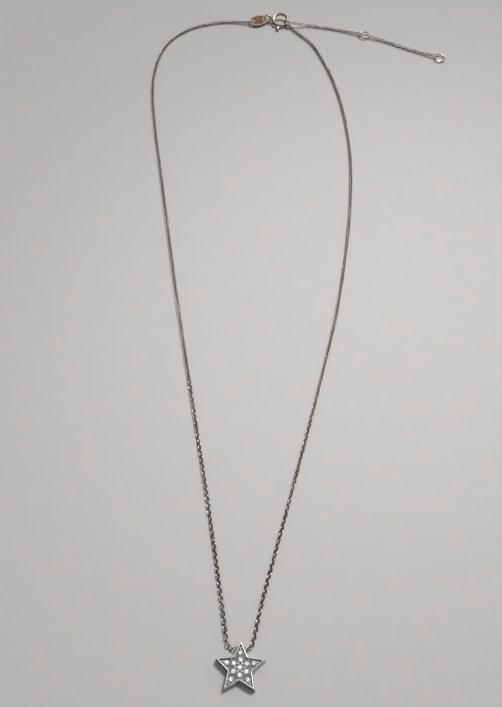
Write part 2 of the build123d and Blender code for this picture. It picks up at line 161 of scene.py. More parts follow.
# Finish of the chain and the tag, with painted shade under the chain's low wires and a painted
# highlight on the tag's raised border
# Darkening of the toned rose gold for the painted shade under the chain
UNDERSIDE_SHADE = 0.5
TAG_DULLING = 0.5
# Share of the clasp's lighter gold painted on the tag's raised border as a highlight
BORDER_HIGHLIGHT = 0.33

# Cut of the stones, in shares of the girdle's radius
STONE_SIDES = 8
GIRDLE = 0.04
CROWN = 0.33
PAVILION = 0.84
MOSAIC_SHARE = 0.5         # middle of the table's small faces over the table

# Each stone's painted sparkle, and how it leans in its seat
FLASH_START = 0.85
# Levels of painted sparkle that a facet may get
PAINTED_SPARKLE_LEVELS = (0.0, 0.5, FLASH_START, FLASH_START, 1.0, 1.0)
STONE_SEED = 11
FLASH_HEADING = 17.0
FLASH_SPREAD = 90.0
# Colour of the darkest facets, painted shade of the sparkle
STONE_PAINTED_DARK_FACET = (0.4, 0.41, 0.41)
STONE_ROUGHNESS = (0.42, 0.5)
STONE_COAT = 0.2

# Mesh attributes that the materials read
# Painted sparkle level of each stone facet
PAINTED_SPARKLE = "spark"
BORDER = "border"


def centre(node):
    """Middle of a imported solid's box."""
    low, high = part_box(node)
    return (low + high) / 2


LAYOUT_SHIFT = centre("middle_ring") - Vector((*MIDDLE_RING_PLACE, 0)) * MM
LAYOUT_SHIFT.z = 0


def placed(x, y, height):
    """Point of the layout, in millimetres, as a point of the frame."""
    return Vector((x, y, height)) * MM + LAYOUT_SHIFT


def star_frame():
    """Matrix of the star's own frame."""
    turn = Matrix.Rotation(math.radians(STAR_TURN), 4, "Z")
    return Matrix.Translation(placed(*STAR_MIDDLE, 0)) @ turn


def direction(heading):
    """Level unit vector along a heading in degrees."""
    return Vector((math.cos(math.radians(heading)), math.sin(math.radians(heading)), 0))


def heading_between(start, end):
    """Heading in degrees from one place of the layout to another."""
    return math.degrees(math.atan2(end[1] - start[1], end[0] - start[0]))


# Sizes and colours that a user would change
class PendantStageSettings(bpy.types.PropertyGroup):
    floor_colour: FloatVectorProperty(
        name="Floor", description="Colour of the pale floor", subtype="COLOR",
        default=(0.70, 0.685, 0.672), min=0, max=1,
    )
    key_strength: FloatProperty(
        name="Key Light", description="Strength of the light at the upper right",
        default=1.32, min=0,
    )
    pool_power: FloatProperty(
        name="Pool Light", description="Power of the light that brightens the floor's middle",
        default=72.0, min=0, unit="POWER",
    )
    room_strength: FloatProperty(
        name="Room", description="Strength of the light from all round", default=1.0, min=0,
    )


class PendantChainSettings(bpy.types.PropertyGroup):
    link_length: FloatProperty(
        name="Link Length", description="Outside length of a link", default=1.24 * MM,
        min=0, precision=5, unit="LENGTH", subtype="DISTANCE",
    )
    link_width: FloatProperty(
        name="Link Width", description="Outside width of a link", default=0.94 * MM,
        min=0, precision=5, unit="LENGTH", subtype="DISTANCE",
    )
    wire: FloatProperty(
        name="Wire", description="Thickness of a link's wire", default=0.225 * MM,
        min=0, precision=5, unit="LENGTH", subtype="DISTANCE",
    )
    pitch: FloatProperty(
        name="Pitch", description="Distance from one link's middle to the next", default=0.75 * MM,
        min=0.1 * MM, precision=5, unit="LENGTH", subtype="DISTANCE",
    )
    roll: FloatProperty(
        name="Roll", description="Turn about the chain from one link to the next",
        default=math.radians(90), subtype="ANGLE",
    )
    lean: FloatProperty(
        name="Lean", description="Turn about the chain of links that rest on their sides",
        default=math.radians(-38), subtype="ANGLE",
    )
    drift: FloatProperty(
        name="Drift", description="Slow twist of the chain along its length",
        default=math.radians(14), subtype="ANGLE",
    )
    axis_height: FloatProperty(
        name="Axis Height", description="Middle of the lying chain above the floor",
        default=0.475 * MM, min=0, precision=5, unit="LENGTH", subtype="DISTANCE",
    )
    seed: IntProperty(name="Seed", description="Seed of each link's small turn", default=4, min=0)


class PendantStoneSettings(bpy.types.PropertyGroup):
    table_share: FloatProperty(
        name="Table", description="Width of the table over the girdle", default=0.57,
        min=0.1, max=0.9, subtype="FACTOR",
    )
    star_share: FloatProperty(
        name="Star Facets", description="How far the star facets reach towards the girdle",
        default=0.5, min=0.1, max=0.9, subtype="FACTOR",
    )
    lower_share: FloatProperty(
        name="Lower Facets", description="How far the lower girdle facets reach to the culet",
        default=0.75, min=0.1, max=0.95, subtype="FACTOR",
    )
    clearness: FloatProperty(
        name="Refraction", description="Index of refraction of the clear stones", default=1.76,
        min=1.3, max=2.6,
    )
    transmission: FloatProperty(
        name="Transmission", description="Share of the light that passes through a facet",
        default=0.05, min=0, max=1, subtype="FACTOR",
    )
    flash: FloatProperty(
        name="Flash", description="How far the brightest facets shine like silver",
        default=0.85, min=0, max=1, subtype="FACTOR",
    )
    tip: FloatProperty(
        name="Tip", description="Largest lean of a stone in its seat",
        default=math.radians(9), subtype="ANGLE",
    )


class PendantMetalSettings(bpy.types.PropertyGroup):
    rose: FloatVectorProperty(
        name="Rose Gold", description="Colour of the chain's metal", subtype="COLOR",
        default=(0.88, 0.755, 0.675), min=0, max=1,
    )
    # Also darkened further as the painted shade under the chain's low wires.
    rose_dark: FloatVectorProperty(
        name="Toned Rose Gold", description="Colour of the same metal where it has toned",
        subtype="COLOR", default=(0.095, 0.072, 0.061), min=0, max=1,
    )
    finding: FloatVectorProperty(
        name="Clasp Gold", description="Colour of the clasp, the tag and the rings",
        subtype="COLOR", default=(0.70, 0.585, 0.455), min=0, max=1,
    )
    tag: FloatVectorProperty(
        name="Tag Gold", description="Colour of the toned oval tag", subtype="COLOR",
        default=(0.15, 0.092, 0.062), min=0, max=1,
    )
    # The plain white metal is kept dark as painted shade on the star's walls and sunken floor.
    white: FloatVectorProperty(
        name="White Metal", description="Colour of the star's plated silver", subtype="COLOR",
        default=(0.42, 0.42, 0.411), min=0, max=1,
    )
    # Painted highlight colour on the star's rim, and with a gain on its grains.
    white_rim_highlight: FloatVectorProperty(
        name="White Rim", description="Colour of the silver on the star's raised rim",
        subtype="COLOR", default=(0.7, 0.7, 0.69), min=0, max=1,
    )
    white_dark: FloatVectorProperty(
        name="Dull White Metal", description="Colour of the silver in its hollows",
        subtype="COLOR", default=(0.22, 0.22, 0.216), min=0, max=1,
    )


# Helpers for node trees
def link(tree, output, target):
    """Links an output to an input."""
    tree.links.new(output, target)


def feed(tree, value, target):
    """Links an input to a socket, or sets it to a plain value."""
    if isinstance(value, bpy.types.NodeSocket):
        link(tree, value, target)
    elif value is not None:
        target.default_value = value


def socket(tree, name, side, kind, default=None):
    """Named socket on a tree's interface."""
    made = tree.interface.new_socket(name=name, in_out=side, socket_type=kind)
    if default is not None:
        made.default_value = default
    return made


def math_node(tree, operation, first, second=None):
    """Math node with its inputs linked or set, and its result."""
    node = tree.nodes.new("ShaderNodeMath")
    node.operation = operation
    feed(tree, first, node.inputs[0])
    feed(tree, second, node.inputs[1])
    return node.outputs[0]


def map_range(tree, value, start=0.0, end=1.0, low=0.0, high=1.0):
    """Value that goes from low to high while the given one goes from start to end."""
    node = tree.nodes.new("ShaderNodeMapRange")
    node.inputs["From Min"].default_value = start
    node.inputs["From Max"].default_value = end
    node.inputs["To Min"].default_value = low
    node.inputs["To Max"].default_value = high
    link(tree, value, node.inputs["Value"])
    return node.outputs["Result"]


def mix(tree, factor, first, second, kind="RGBA"):
    """Mix of two colours or two values, each linked or set."""
    node = tree.nodes.new("ShaderNodeMix")
    node.data_type = kind
    link(tree, factor, node.inputs["Factor"])
    feed(tree, first, node.inputs["A"])
    feed(tree, second, node.inputs["B"])
    return node.outputs["Result"]


def coordinate(tree, vector, axis):
    """One coordinate of a vector."""
    parts = tree.nodes.new("ShaderNodeSeparateXYZ")
    link(tree, vector, parts.inputs[0])
    return parts.outputs[axis]


def bumped(tree, height, strength, depth):
    """Normal bumped by a height whose depth is in millimetres."""
    bump = tree.nodes.new("ShaderNodeBump")
    bump.inputs["Strength"].default_value = strength
    bump.inputs["Distance"].default_value = depth * MM
    link(tree, height, bump.inputs["Height"])
    return bump.outputs["Normal"]


def towards_side(tree, vector, side):
    """How far a direction points towards a side of the room."""
    node = tree.nodes.new("ShaderNodeVectorMath")
    node.operation = "DOT_PRODUCT"
    node.inputs[1].default_value = side
    link(tree, vector, node.inputs[0])
    return node.outputs["Value"]


def tone_ramp(tree, value, tones):
    """Colour ramp with a place and a colour for each tone."""
    ramp = tree.nodes.new("ShaderNodeValToRGB")
    link(tree, value, ramp.inputs["Fac"])
    levels = ramp.color_ramp.elements
    while len(levels) < len(tones):
        levels.new(1.0)
    for level, (place, colour) in zip(levels, tones):
        level.position = place
        level.color = (*colour, 1)
    return ramp.outputs["Color"]


def shader_of(tree):
    """Main shader of a material's tree."""
    return next(node for node in tree.nodes if node.type == "BSDF_PRINCIPLED")


# Shader groups shared by the metals and the stones
def worn_surface_group():
    """Masks and relief of handling: cloudy smudges, fine scratches and pits."""
    name = "Worn Surface"
    if name in bpy.data.node_groups:
        return bpy.data.node_groups[name]
    tree = bpy.data.node_groups.new(name, "ShaderNodeTree")
    socket(tree, "Vector", "INPUT", "NodeSocketVector")
    socket(tree, "Smudge Scale", "INPUT", "NodeSocketFloat", 900.0)
    socket(tree, "Scratch Scale", "INPUT", "NodeSocketFloat", 3500.0)
    socket(tree, "Pit Scale", "INPUT", "NodeSocketFloat", 9000.0)
    socket(tree, "Smudge", "OUTPUT", "NodeSocketFloat")
    socket(tree, "Scratch", "OUTPUT", "NodeSocketFloat")
    socket(tree, "Height", "OUTPUT", "NodeSocketFloat")
    given = tree.nodes.new("NodeGroupInput")
    result = tree.nodes.new("NodeGroupOutput")

    smudge = tree.nodes.new("ShaderNodeTexNoise")
    smudge.inputs["Detail"].default_value = 3.0
    smudge.inputs["Roughness"].default_value = 0.6
    link(tree, given.outputs["Vector"], smudge.inputs["Vector"])
    link(tree, given.outputs["Smudge Scale"], smudge.inputs["Scale"])
    spread = map_range(tree, smudge.outputs[0], start=0.35, end=0.68)

    stretch = tree.nodes.new("ShaderNodeMapping")
    stretch.inputs["Rotation"].default_value = (0.3, 0.2, 0.7)
    stretch.inputs["Scale"].default_value = (1.0, 0.09, 1.0)
    scratch = tree.nodes.new("ShaderNodeTexNoise")
    scratch.inputs["Detail"].default_value = 2.0
    scratch.inputs["Distortion"].default_value = 0.4
    link(tree, given.outputs["Vector"], stretch.inputs["Vector"])
    link(tree, stretch.outputs["Vector"], scratch.inputs["Vector"])
    link(tree, given.outputs["Scratch Scale"], scratch.inputs["Scale"])
    thin = map_range(tree, scratch.outputs[0], start=0.58, end=0.72)

    pits = tree.nodes.new("ShaderNodeTexVoronoi")
    link(tree, given.outputs["Vector"], pits.inputs["Vector"])
    link(tree, given.outputs["Pit Scale"], pits.inputs["Scale"])
    relief = math_node(tree, "MULTIPLY", pits.outputs["Distance"], 0.35)
    relief = math_node(tree, "SUBTRACT", relief, thin)

    link(tree, spread, result.inputs["Smudge"])
    link(tree, thin, result.inputs["Scratch"])
    link(tree, relief, result.inputs["Height"])
    return tree


def new_material(name):
    """Empty material with its shader and its place on the surface."""
    material = bpy.data.materials.new(name)
    material.use_nodes = True
    tree = material.node_tree
    where = tree.nodes.new("ShaderNodeTexCoord")
    return material, tree, shader_of(tree), where.outputs["Object"]


def worn_outputs(tree, where, smudge_scale):
    """Outputs of the worn surface group, laid on a material's coordinates."""
    wear = tree.nodes.new("ShaderNodeGroup")
    wear.node_tree = worn_surface_group()
    wear.inputs["Smudge Scale"].default_value = smudge_scale
    link(tree, where, wear.inputs["Vector"])
    return wear.outputs


def worn_metal(name, colour, dull_colour, roughness, rough_spread, relief, smudge_scale,
               toning=0.55):
    """Polished metal with toned patches, fine scratches and a slightly uneven skin."""
    material, tree, shader, where = new_material(name)
    wear = worn_outputs(tree, where, smudge_scale)
    toned = math_node(tree, "MULTIPLY", wear["Smudge"], toning)
    link(tree, mix(tree, toned, (*colour, 1), (*dull_colour, 1)), shader.inputs["Base Color"])
    uneven = map_range(tree, wear["Smudge"], low=roughness, high=roughness + rough_spread)
    scratched = math_node(tree, "MULTIPLY", wear["Scratch"], rough_spread)
    link(tree, math_node(tree, "ADD", uneven, scratched), shader.inputs["Roughness"])
    link(tree, bumped(tree, wear["Height"], relief, 0.01), shader.inputs["Normal"])
    shader.inputs["Metallic"].default_value = 1.0
    return material


def paint_rim_and_grain_light(material):
    """Paints a metal lighter and more matt on the upward faces of the rim and the grains above the
    sunken floor, as painted highlight.
    """
    metal = bpy.context.scene.pendant_metals
    tree = material.node_tree
    shader = shader_of(tree)
    where = tree.nodes.new("ShaderNodeTexCoord")
    height = coordinate(tree, where.outputs["Object"], "Z")
    facing = coordinate(tree, where.outputs["Normal"], "Z")

    def above(levels):
        return map_range(tree, height, *((STAR_HEIGHT - RECESS_DEPTH * part) * MM for part in levels))

    # Painted highlight on upward faces high on the star; lower faces keep the darker colour as
    # painted shade.
    painted_lit_top = math_node(tree, "MULTIPLY", above(GRAIN_LEVELS), map_range(tree, facing, *UPWARD))
    on_rim = math_node(tree, "MULTIPLY", painted_lit_top, above(RIM_LEVELS))
    on_grain = math_node(tree, "SUBTRACT", painted_lit_top, on_rim)
    # The grains lose some metallic look so their painted highlight shows.
    highlight_matting = math_node(tree, "MULTIPLY", on_grain, GRAIN_HIGHLIGHT_MATTING)
    link(tree, math_node(tree, "SUBTRACT", 1.0, highlight_matting), shader.inputs["Metallic"])
    grain_highlight_colour = [min(1.0, part * GRAIN_HIGHLIGHT_GAIN) for part in metal.white_rim_highlight]
    for name, kind, mask, value in (
        ("Base Color", "RGBA", painted_lit_top, (*grain_highlight_colour, 1)),
        ("Roughness", "FLOAT", painted_lit_top, GRAIN_ROUGHNESS),
        ("Base Color", "RGBA", on_rim, (*metal.white_rim_highlight, 1)),
        ("Roughness", "FLOAT", on_rim, RIM_ROUGHNESS),
    ):
        below = shader.inputs[name].links[0].from_socket
        link(tree, mix(tree, mask, below, value, kind), shader.inputs[name])
    return material


def paint_underside_shade(material):
    """Darkens a lying chain's metal where it is low as painted shade, so its raised wires stay the
    brightest.
    """
    chain, metal = bpy.context.scene.pendant_chain, bpy.context.scene.pendant_metals
    tree = material.node_tree
    where = tree.nodes.new("ShaderNodeTexCoord")
    height = coordinate(tree, where.outputs["Object"], "Z")
    raised = map_range(tree, height, chain.axis_height, chain.axis_height + chain.wire)
    # Painted shade: the toned colour darkened further on the chain's low wires
    painted_underside_shade = (*(part * UNDERSIDE_SHADE for part in metal.rose_dark), 1)
    colour = shader_of(tree).inputs["Base Color"]
    link(tree, mix(tree, raised, painted_underside_shade, colour.links[0].from_socket), colour)
    return material


def clear_stone_material():
    """Clear stone with a faint film, each facet painted from dim grey to white as painted sparkle,
    whose brightest facets shine like silver.
    """
    stone = bpy.context.scene.pendant_stones
    material, tree, shader, where = new_material("Clear Stone")
    smudge = worn_outputs(tree, where, 1800.0)["Smudge"]
    least, most = STONE_ROUGHNESS
    link(tree, map_range(tree, smudge, low=least, high=most), shader.inputs["Roughness"])
    spark = tree.nodes.new("ShaderNodeAttribute")
    spark.attribute_name = PAINTED_SPARKLE
    level = spark.outputs["Fac"]
    # Painted sparkle: the facet's level mixes its colour from dim grey to white
    link(tree, mix(tree, level, (*STONE_PAINTED_DARK_FACET, 1), (1, 1, 1, 1)), shader.inputs["Base Color"])
    flash = map_range(tree, level, start=FLASH_START, high=stone.flash)
    link(tree, flash, shader.inputs["Metallic"])
    shader.inputs["Transmission Weight"].default_value = stone.transmission
    shader.inputs["Coat Weight"].default_value = STONE_COAT
    shader.inputs["Coat IOR"].default_value = stone.clearness
    shader.inputs["IOR"].default_value = stone.clearness
    return material


def floor_material():
    """Pale matt board with the faintest cloudy tone."""
    stage = bpy.context.scene.pendant_stage
    material, tree, shader, where = new_material("Pale Board")
    cloud = tree.nodes.new("ShaderNodeTexNoise")
    cloud.inputs["Scale"].default_value = 260.0
    cloud.inputs["Detail"].default_value = 3.0
    link(tree, where, cloud.inputs["Vector"])
    warm, cool = (
        [part * gain for part, gain in zip(stage.floor_colour, gains)] for gains in FLOOR_TONES
    )
    link(tree, mix(tree, cloud.outputs[0], (*warm, 1), (*cool, 1)), shader.inputs["Base Color"])
    grain = tree.nodes.new("ShaderNodeTexNoise")
    grain.inputs["Scale"].default_value = 4200.0
    link(tree, where, grain.inputs["Vector"])
    link(tree, bumped(tree, grain.outputs[0], 0.15, 0.02), shader.inputs["Normal"])
    shader.inputs["Roughness"].default_value = 0.85
    return material


def chain_metal():
    """Rose gold of the chain, made once."""
    metal = bpy.context.scene.pendant_metals
    found = bpy.data.materials.get("Rose Gold Chain")
    # The chain's metal carries painted shade under its low wires
    return found or paint_underside_shade(worn_metal(
        "Rose Gold Chain", metal.rose, metal.rose_dark, roughness=0.16, rough_spread=0.1,
        relief=0.25, smudge_scale=480.0, toning=0.7,
    ))


def finding_metal():
    """Rose gold of the clasp and the rings, made once."""
    metal = bpy.context.scene.pendant_metals
    found = bpy.data.materials.get("Rose Gold Findings")
    return found or worn_metal(
        "Rose Gold Findings", metal.finding, metal.rose_dark, roughness=0.17, rough_spread=0.2,
        relief=0.35, smudge_scale=700.0,
    )


def tag_metal():
    """Darker toned gold of the oval tag, with a painted highlight along its raised border."""
    metal = bpy.context.scene.pendant_metals
    highlight_matting = [part * TAG_DULLING for part in metal.tag]
    material = worn_metal(
        "Toned Tag", metal.tag, highlight_matting, roughness=0.2, rough_spread=0.12, relief=0.9,
        smudge_scale=800.0,
    )
    tree = material.node_tree
    border = tree.nodes.new("ShaderNodeAttribute")
    border.attribute_name = BORDER
    # Painted highlight: the raised border takes part of the clasp's lighter gold.
    wear = math_node(tree, "MULTIPLY", border.outputs["Fac"], BORDER_HIGHLIGHT)
    colour = shader_of(tree).inputs["Base Color"]
    link(tree, mix(tree, wear, colour.links[0].from_socket, (*metal.finding, 1)), colour)
    return material


def mark_border(node):
    """Marks the tag's raised border on its mesh, above the level of the sunken field."""
    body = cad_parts[node]
    tilt = Matrix.Rotation(math.radians(TAG_HEADING), 4, "Z") @ Matrix.Rotation(
        math.radians(TAG_TILT), 4, "X")
    normal = tilt.to_3x3() @ UP
    heights = [(body.matrix_world @ vertex.co).dot(normal) for vertex in body.data.vertices]
    level = max(heights) - TAG_FIELD_DEPTH / 2 * MM
    mark = body.data.attributes.new(BORDER, "FLOAT", "POINT")
    for item, height in zip(mark.data, heights):
        item.value = float(height > level)


def setting_metal():
    """White metal of the star, with painted highlight on its rim and grains and painted shade on its
    walls and sunken floor.
    """
    metal = bpy.context.scene.pendant_metals
    return paint_rim_and_grain_light(worn_metal(
        "Plated Silver", metal.white, metal.white_dark, roughness=0.2, rough_spread=0.08,
        relief=0.4, smudge_scale=1100.0,
    ))


# Geometry nodes that lay links along a route
def chain_tree():
    """Tree that sets interlocked links along a line, each turned against the last."""
    name = "Trace Chain"
    if name in bpy.data.node_groups:
        return bpy.data.node_groups[name]
    tree = bpy.data.node_groups.new(name, "GeometryNodeTree")
    tree.is_modifier = True
    socket(tree, "Geometry", "INPUT", "NodeSocketGeometry")
    for measure in ("Link Length", "Link Width", "Wire", "Pitch", "Roll", "Drift", "Lean",
                    "First Roll", "Odd Link"):
        socket(tree, measure, "INPUT", "NodeSocketFloat")
    socket(tree, "Seed", "INPUT", "NodeSocketInt")
    socket(tree, "Material", "INPUT", "NodeSocketMaterial")
    socket(tree, "Geometry", "OUTPUT", "NodeSocketGeometry")
    given = tree.nodes.new("NodeGroupInput").outputs
    result = tree.nodes.new("NodeGroupOutput")

    # One link: a ring drawn out along X
    ring = tree.nodes.new("GeometryNodeCurvePrimitiveCircle")
    ring.inputs["Resolution"].default_value = LINK_SIDES
    width = math_node(tree, "SUBTRACT", given["Link Width"], given["Wire"])
    link(tree, math_node(tree, "MULTIPLY", width, 0.5), ring.inputs["Radius"])
    where = tree.nodes.new("GeometryNodeInputPosition")
    side = math_node(tree, "SIGN", coordinate(tree, where.outputs[0], "X"))
    straight = math_node(tree, "SUBTRACT", given["Link Length"], given["Link Width"])
    shift = math_node(tree, "MULTIPLY", side, math_node(tree, "MULTIPLY", straight, 0.5))
    offset = tree.nodes.new("ShaderNodeCombineXYZ")
    link(tree, shift, offset.inputs["X"])
    drawn = tree.nodes.new("GeometryNodeSetPosition")
    link(tree, ring.outputs["Curve"], drawn.inputs["Geometry"])
    link(tree, offset.outputs[0], drawn.inputs["Offset"])
    section = tree.nodes.new("GeometryNodeCurvePrimitiveCircle")
    section.inputs["Resolution"].default_value = WIRE_SIDES
    link(tree, math_node(tree, "MULTIPLY", given["Wire"], 0.5), section.inputs["Radius"])
    wired = tree.nodes.new("GeometryNodeCurveToMesh")
    link(tree, drawn.outputs["Geometry"], wired.inputs["Curve"])
    link(tree, section.outputs["Curve"], wired.inputs["Profile Curve"])

    # Evenly spaced places on the route
    route = tree.nodes.new("GeometryNodeMeshToCurve")
    link(tree, given["Geometry"], route.inputs["Mesh"])
    length = tree.nodes.new("GeometryNodeCurveLength")
    link(tree, route.outputs["Curve"], length.inputs["Curve"])
    pairs = math_node(tree, "DIVIDE", length.outputs["Length"], given["Pitch"])
    pairs = math_node(tree, "ROUND", math_node(tree, "MULTIPLY", pairs, 0.5))
    count = math_node(tree, "ADD", math_node(tree, "MULTIPLY", pairs, 2.0), given["Odd Link"])
    spaced = tree.nodes.new("GeometryNodeResampleCurve")
    link(tree, route.outputs["Curve"], spaced.inputs["Curve"])
    link(tree, count, spaced.inputs["Count"])

    # Each link lies along the route, and the free ones twist a little about it
    tangent = tree.nodes.new("GeometryNodeInputTangent")
    along = tree.nodes.new("FunctionNodeAxesToRotation")
    along.primary_axis = "X"
    along.secondary_axis = "Z"
    link(tree, tangent.outputs[0], along.inputs["Primary Axis"])
    along.inputs["Secondary Axis"].default_value = UP
    index = tree.nodes.new("GeometryNodeInputIndex").outputs[0]
    odd = math_node(tree, "MODULO", index, 2.0)
    roll = math_node(tree, "MULTIPLY", odd, given["Roll"])
    roll = math_node(tree, "ADD", roll, given["First Roll"])
    left = math_node(tree, "SUBTRACT", math_node(tree, "SUBTRACT", count, 1.0), index)
    free = math_node(tree, "DIVIDE", math_node(tree, "MINIMUM", index, left), FREE_LINKS)
    free = math_node(tree, "MINIMUM", free, 1.0)
    slow = tree.nodes.new("ShaderNodeTexNoise")
    slow.noise_dimensions = "1D"
    slow.inputs["Scale"].default_value = DRIFT_SCALE
    slow.inputs["Detail"].default_value = 1.0
    link(tree, math_node(tree, "ADD", index, given["Seed"]), slow.inputs["W"])
    drift = math_node(tree, "SUBTRACT", slow.outputs[0], 0.5)
    drift = math_node(tree, "MULTIPLY", drift, DRIFT_GAIN)
    drift = math_node(tree, "MULTIPLY", drift, given["Drift"])
    shake = tree.nodes.new("FunctionNodeRandomValue")
    shake.data_type = "FLOAT"
    shake.inputs[2].default_value = math.radians(-LINK_SHAKE)
    shake.inputs[3].default_value = math.radians(LINK_SHAKE)
    link(tree, given["Seed"], shake.inputs["Seed"])
    loose = math_node(tree, "ADD", drift, shake.outputs[1])
    loose = math_node(tree, "ADD", loose, given["Lean"])
    twist = math_node(tree, "MULTIPLY", free, loose)
    turn = math_node(tree, "ADD", roll, twist)
    rolled = tree.nodes.new("FunctionNodeAxisAngleToRotation")
    rolled.inputs["Axis"].default_value = (1, 0, 0)
    link(tree, turn, rolled.inputs["Angle"])
    both = tree.nodes.new("FunctionNodeRotateRotation")
    both.rotation_space = "LOCAL"
    link(tree, along.outputs[0], both.inputs[0])
    link(tree, rolled.outputs[0], both.inputs[1])

    links = tree.nodes.new("GeometryNodeInstanceOnPoints")
    link(tree, spaced.outputs["Curve"], links.inputs["Points"])
    link(tree, wired.outputs["Mesh"], links.inputs["Instance"])
    link(tree, both.outputs[0], links.inputs["Rotation"])
    real = tree.nodes.new("GeometryNodeRealizeInstances")
    smooth = tree.nodes.new("GeometryNodeSetShadeSmooth")
    painted = tree.nodes.new("GeometryNodeSetMaterial")
    link(tree, links.outputs[0], real.inputs[0])
    link(tree, real.outputs[0], smooth.inputs[0])
    link(tree, smooth.outputs[0], painted.inputs["Geometry"])
    link(tree, given["Material"], painted.inputs["Material"])
    link(tree, painted.outputs[0], result.inputs[0])
    return tree


def set_inputs(modifier, values):
    """Sets a geometry nodes modifier's inputs by the names on its tree."""
    for item in modifier.node_group.interface.items_tree:
        if item.in_out == "INPUT" and item.name in values:
            modifier[item.identifier] = values[item.name]


def new_object(name, data):
    """New object in the scene that shows the given data."""
    made = bpy.data.objects.new(name, data)
    bpy.context.scene.collection.objects.link(made)
    return made


def baked(source):
    """Plain mesh of an object with its modifiers or its curve worked out."""
    graph = bpy.context.evaluated_depsgraph_get()
    return bpy.data.meshes.new_from_object(source.evaluated_get(graph), depsgraph=graph)


def route_line(name, points):
    """Line of a smooth route whose control points are given."""
    curve = bpy.data.curves.new(name, "CURVE")
    curve.dimensions = "3D"
    spline = curve.splines.new("NURBS")
    spline.points.add(len(points) - 1)
    for point, place in zip(spline.points, points):
        point.co = (*place, 1)
    spline.order_u = 3
    spline.use_endpoint_u = True
    spline.resolution_u = 16
    carrier = new_object(name, curve)
    line = baked(carrier)
    bpy.data.objects.remove(carrier)
    return line


def add_ring(form, pose, radius, wire_radius, around=28, across=10):
    """Adds a round wire ring that lies in the pose's XY plane."""
    loops = []
    for turn in range(around):
        swing = 2 * math.pi * turn / around
        out = Vector((math.cos(swing), math.sin(swing), 0))
        loop = []
        for place in range(across):
            spin = 2 * math.pi * place / across
            point = out * (radius + wire_radius * math.cos(spin)) + UP * wire_radius * math.sin(spin)
            loop.append(form.verts.new(pose @ point))
        loops.append(loop)
    for turn in range(around):
        here, after = loops[turn], loops[(turn + 1) % around]
        for place in range(across):
            following = (place + 1) % across
            face = form.faces.new(
                (here[place], after[place], after[following], here[following])
            )
            face.smooth = True


def upright_pose(place, heading):
    """Pose of a ring that stands on edge along a heading."""
    turn = Matrix.Rotation(math.radians(heading), 4, "Z")
    return Matrix.Translation(place) @ turn @ Matrix.Rotation(math.radians(90), 4, "X")


def flat_pose(place):
    """Pose of a ring that lies flat."""
    return Matrix.Translation(place)


def first_link(end_link, heading):
    """Middle of the chain's first link, which hangs on the far side of an end link."""
    chain = bpy.context.scene.pendant_chain
    wires = (END_LINK_WIRE * MM + chain.wire) / 2
    reach = (END_LINK_OUTSIDE - END_LINK_WIRE) / 2 * MM - wires
    reach += (chain.link_length - chain.wire) / 2
    return end_link + direction(heading) * reach


def tag_hole(side):
    """Middle of one of the tag's holes on the surface, left for -1 and right for 1."""
    middle = Vector((*TAG_MIDDLE, 0)) + side * TAG_HOLE_FROM_MIDDLE * direction(TAG_HEADING)
    return placed(middle.x, middle.y, END_LINK_OUTSIDE / 2)


def joining_link(heading, side):
    """Middle of the flat end link on the joining ring, below its middle for -1."""
    low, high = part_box("joining_ring")
    radius = (high.z - low.z) / 2 - RING_WIRE / 2 * MM
    spread = JOINING_LINK_SPREAD * MM
    wire = centre("joining_ring") + direction(JOINING_RING_ANGLE) * math.sqrt(radius**2 - spread**2)
    return wire + direction(heading) * JOINING_LINK_PLAY * MM + UP * spread * side


def ring_link(ring_place, outside, heading):
    """Middle of the upright end link on a lying ring."""
    reach = (outside - RING_WIRE) / 2 + LINK_PLAY
    return placed(*ring_place, END_LINK_OUTSIDE / 2) + direction(heading) * reach * MM


def lying(route):
    """Route points at the height of a chain that lies on the floor."""
    height = bpy.context.scene.pendant_chain.axis_height / MM
    return [placed(x, y, height) for x, y in route]


def make_chain(name, points, end_links, replaced, first_roll=0.0, odd_link=0.0):
    """Chain of real links along a route, with its round end links."""
    chain = bpy.context.scene.pendant_chain
    line = route_line(name + "_route", points)
    carrier = new_object(name + "_carrier", line)
    modifier = carrier.modifiers.new("Trace Chain", "NODES")
    modifier.node_group = chain_tree()
    set_inputs(modifier, {
        "Link Length": chain.link_length, "Link Width": chain.link_width, "Wire": chain.wire,
        "Pitch": chain.pitch, "Roll": chain.roll, "Drift": chain.drift, "Seed": chain.seed,
        "Lean": chain.lean, "First Roll": first_roll, "Odd Link": odd_link,
        "Material": chain_metal(),
    })
    mesh = baked(carrier)
    mesh.name = name
    bpy.data.objects.remove(carrier)
    form = bmesh.new()
    form.from_mesh(mesh)
    for pose in end_links:
        add_ring(form, pose, (END_LINK_OUTSIDE - END_LINK_WIRE) / 2 * MM, END_LINK_WIRE / 2 * MM)
    form.to_mesh(mesh)
    form.free()
    piece = new_object(name, mesh)
    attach(piece, "necklace")
    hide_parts(*replaced)
    return piece


def bail_point(along):
    """Point on the axis of the star's bore, a distance along it."""
    return star_frame() @ (Vector((along, *BAIL_MIDDLE)) * MM)


def repaint(node, material):
    """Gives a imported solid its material."""
    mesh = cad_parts[node].data
    mesh.materials.clear()
    mesh.materials.append(material)


